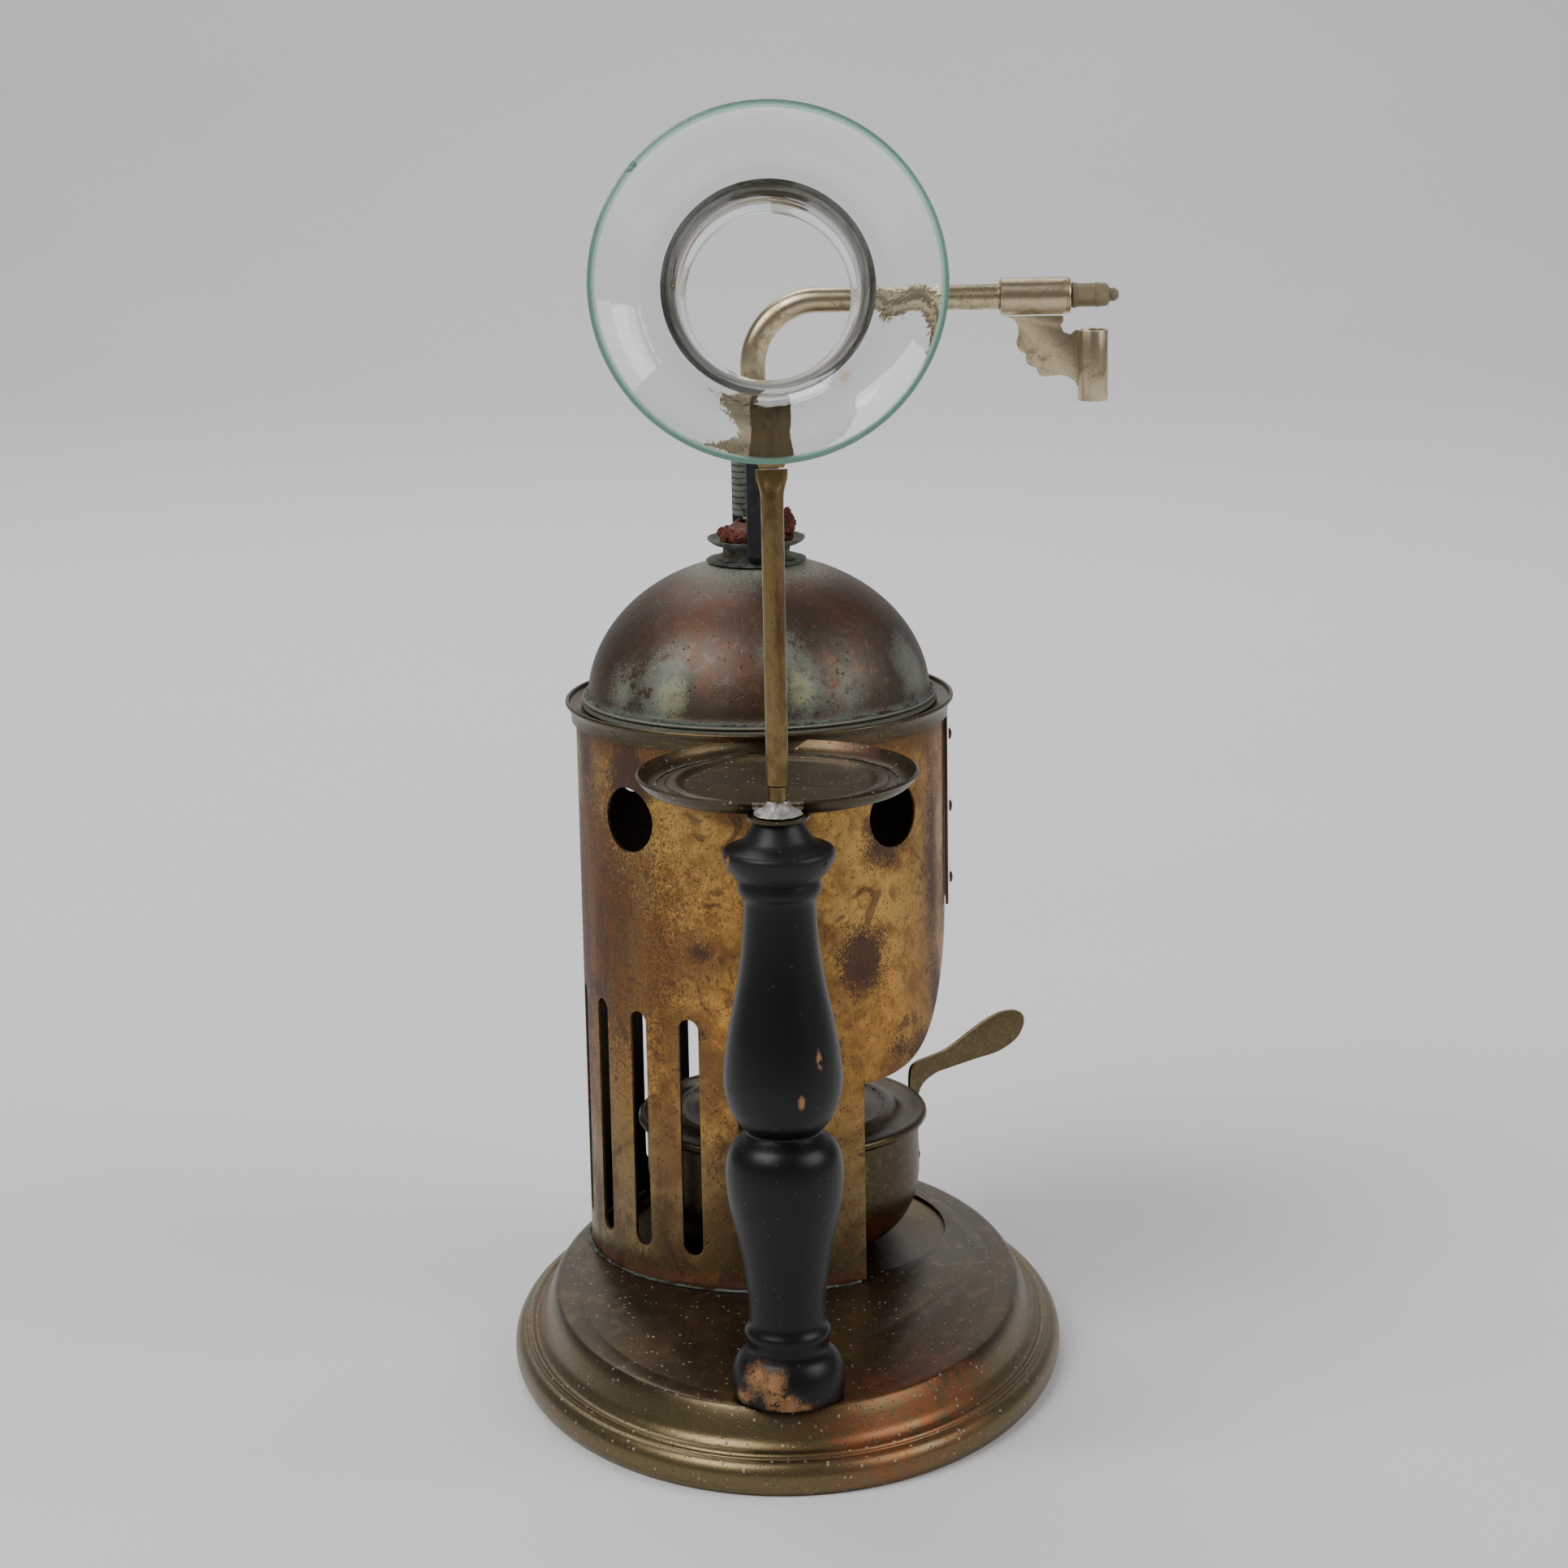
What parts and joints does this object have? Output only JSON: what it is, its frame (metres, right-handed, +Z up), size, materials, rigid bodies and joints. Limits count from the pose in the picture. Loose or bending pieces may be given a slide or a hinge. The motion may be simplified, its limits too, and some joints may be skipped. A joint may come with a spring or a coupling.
{
  "type": "steam inhaler",
  "caption": "Antique table steam inhaler: oval brass stand, spirit lamp in a slotted chimney, domed boiler, swivelling steam arm, glass funnel above a drip tray.",
  "frame": {"origin": "centre of the whole object's floor plan, on the surface it stands on, with the steam arm turned to +X as stored", "axes": "+Z up, the chimney and boiler towards +Y, the column, tray and funnel towards -Y, the lamp's door and the stored steam arm towards +X"},
  "size_m": [0.1336, 0.1818, 0.2719],
  "materials": {
    "aged_brass": "golden-brown brass with dark heat stains and verdigris",
    "stained_brass": "dark olive-brown tarnished brass",
    "dark_copper": "dark brown copper with grey-green patches",
    "pale_bronze": "dull bronze with scale and verdigris",
    "dull_nickel": "worn nickel plating, dull and speckled",
    "black_iron": "blackened iron",
    "corroded_spring": "wire covered in white-green corrosion",
    "steel": "plain steel",
    "black_wood": "turned wood, satin black, chipped at the foot",
    "crusted_cork": "cork under rust-red crust",
    "clear_glass": "clear glass with a green edge",
    "cotton_wick": "woven cotton, charred at the top"
  },
  "bodies": {
    "stand": {"base_plate": "stained_brass", "column": "black_wood", "column_washer": "steel", "column_screw": "steel", "rod_stub": "aged_brass", "drip_tray": "stained_brass", "shell": "aged_brass", "shell_rim": "aged_brass", "seam_strip": "aged_brass", "seam_rivet_1": "aged_brass", "seam_rivet_2": "aged_brass", "seam_rivet_3": "aged_brass"},
    "boiler": {"boiler_dome": "dark_copper", "boiler_bowl": "dark_copper", "boiler_neck": "pale_bronze", "valve_yoke": "black_iron", "valve_spring": "corroded_spring"},
    "valve": {"cork_stopper": "crusted_cork"},
    "steam_arm": {"steam_tube": "dull_nickel", "nozzle_tip": "pale_bronze", "bracket_sleeve": "dull_nickel", "siphon_clip": "dull_nickel"},
    "rod": {"support_rod": "aged_brass", "band_strap": "aged_brass", "glass_band": "aged_brass"},
    "funnel": {"glass_funnel": "clear_glass"},
    "lamp": {"lamp_reservoir": "stained_brass", "lamp_handle": "stained_brass", "handle_rivet_1": "stained_brass", "handle_rivet_2": "stained_brass"},
    "burner": {"lamp_lid": "stained_brass", "wick_tube": "pale_bronze", "wick": "cotton_wick"}
  },
  "joints": [
    {"name": "boiler_lift", "type": "slide", "parent": "stand", "child": "boiler", "axis": [0, 0, 1], "range_m": [0, 0.032]},
    {"name": "valve_lift", "type": "slide", "parent": "boiler", "child": "valve", "axis": [0, 0, 1], "range_m": [0, 0.002], "stiffness_N_per_m": 2000, "springref_m": -0.003, "deforming": ["valve_spring"]},
    {"name": "steam_arm_swivel", "type": "hinge", "parent": "valve", "child": "steam_arm", "pos_m": [-0.01113, 0.03357, 0.1728], "axis": [0, 0, 1], "continuous": true},
    {"name": "rod_swivel", "type": "hinge", "parent": "stand", "child": "rod", "pos_m": [-0.00753, -0.06313, 0.1412], "axis": [0, 0, 1], "range_deg": [-15, 15]},
    {"name": "funnel_draw", "type": "slide", "parent": "rod", "child": "funnel", "axis": [0, -0.9848, 0.1736], "range_m": [0, 0.045]},
    {"name": "lamp_draw", "type": "slide", "parent": "stand", "child": "lamp", "axis": [0.9976, 0, 0.0698], "range_m": [0, 0.09]},
    {"name": "burner_lift", "type": "slide", "parent": "lamp", "child": "burner", "axis": [0, 0, 1], "range_m": [0, 0.02]}
  ]
}
